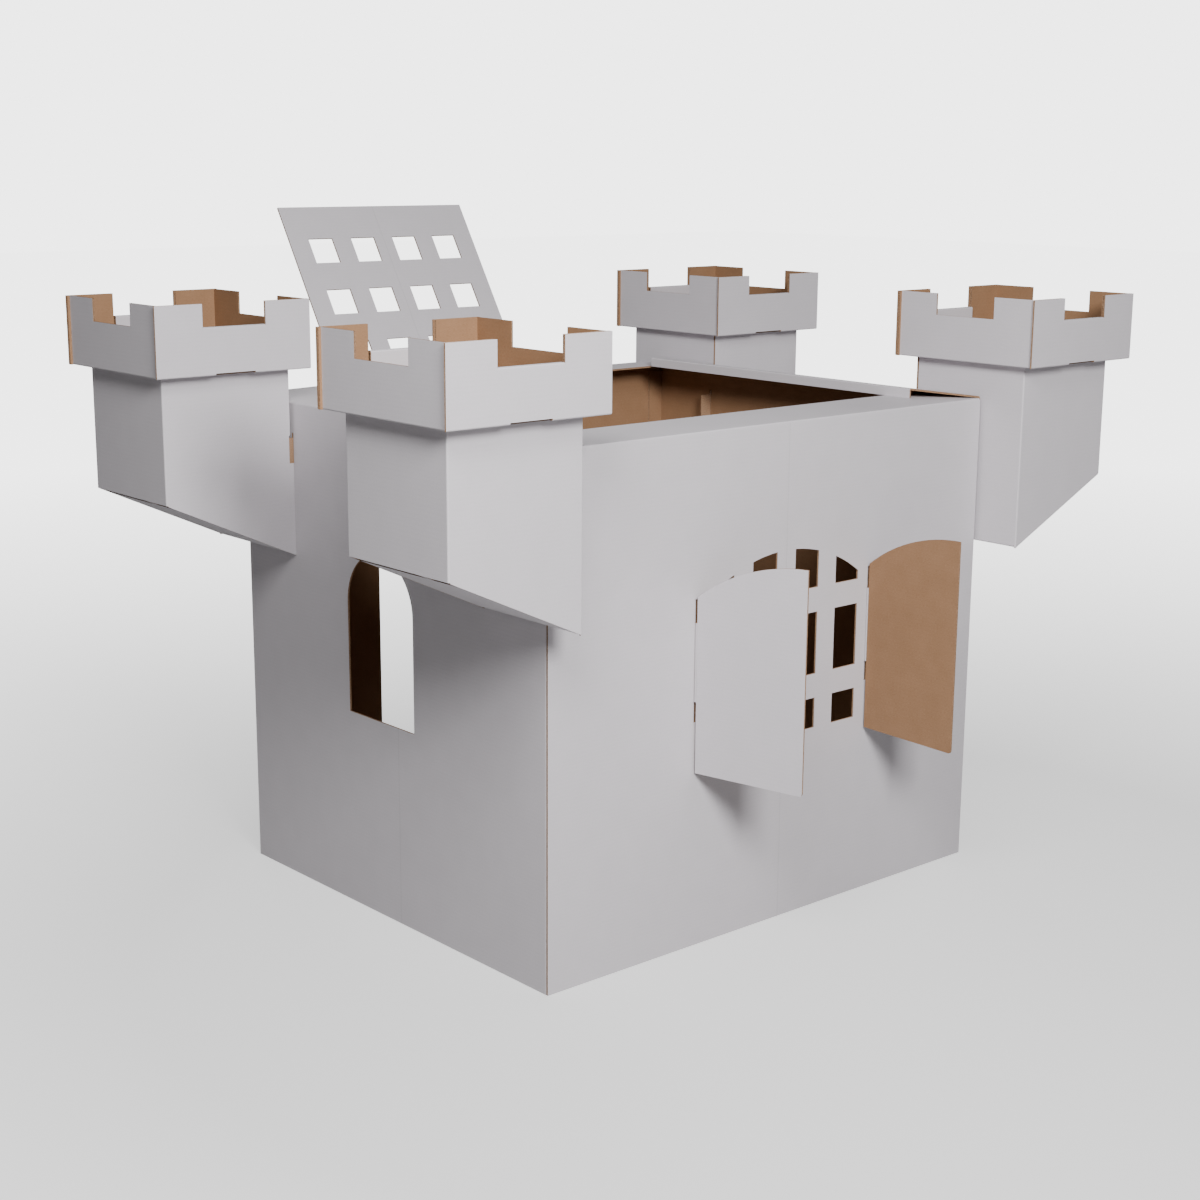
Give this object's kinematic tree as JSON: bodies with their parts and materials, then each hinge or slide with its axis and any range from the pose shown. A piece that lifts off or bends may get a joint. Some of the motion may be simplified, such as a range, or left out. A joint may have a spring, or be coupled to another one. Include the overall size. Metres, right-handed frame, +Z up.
{
  "type": "cardboard play castle",
  "caption": "Play castle folded from white-faced corrugated card, with hanging corner turrets, a lifting gate with square lights, and a lattice window with shutters.",
  "frame": {"origin": "middle of the shutter wall's bottom edge, halfway through the board, on the floor", "axes": "+Z up; +X along the shutter wall, to the right seen from outside it; +Y from the shutter wall to the gate wall"},
  "size_m": [1.451, 1.2811, 1.0947],
  "materials": {
    "white_faced_card": "matte white clay-coated outer liner, kraft brown inner liner and raw cut edges, corrugated core"
  },
  "bodies": {
    "walls": {"shutter_wall_sheet": "white_faced_card", "gate_wall_sheet": "white_faced_card", "left_shutter_tab": "white_faced_card", "right_shutter_tab": "white_faced_card", "front_left_turret": "white_faced_card", "front_left_battlement": "white_faced_card", "front_right_turret": "white_faced_card", "front_right_battlement": "white_faced_card", "back_left_turret": "white_faced_card", "back_left_battlement": "white_faced_card", "back_right_turret": "white_faced_card", "back_right_battlement": "white_faced_card"},
    "gate": {"gate_leaf": "white_faced_card"},
    "shutter_left": {"left_shutter": "white_faced_card"},
    "shutter_right": {"right_shutter": "white_faced_card"}
  },
  "joints": [
    {"name": "gate_hinge", "type": "hinge", "parent": "walls", "child": "gate", "pos_m": [0, 0.7845, 0.613], "axis": [1, 0, 0], "range_deg": [-148, 30]},
    {"name": "left_shutter_hinge", "type": "hinge", "parent": "walls", "child": "shutter_left", "pos_m": [-0.183, -0.0033, 0.453], "axis": [0, 0, 1], "range_deg": [-100, 78]},
    {"name": "right_shutter_hinge", "type": "hinge", "parent": "walls", "child": "shutter_right", "pos_m": [0.201, -0.0033, 0.453], "axis": [0, 0, 1], "range_deg": [-87, 91]}
  ]
}
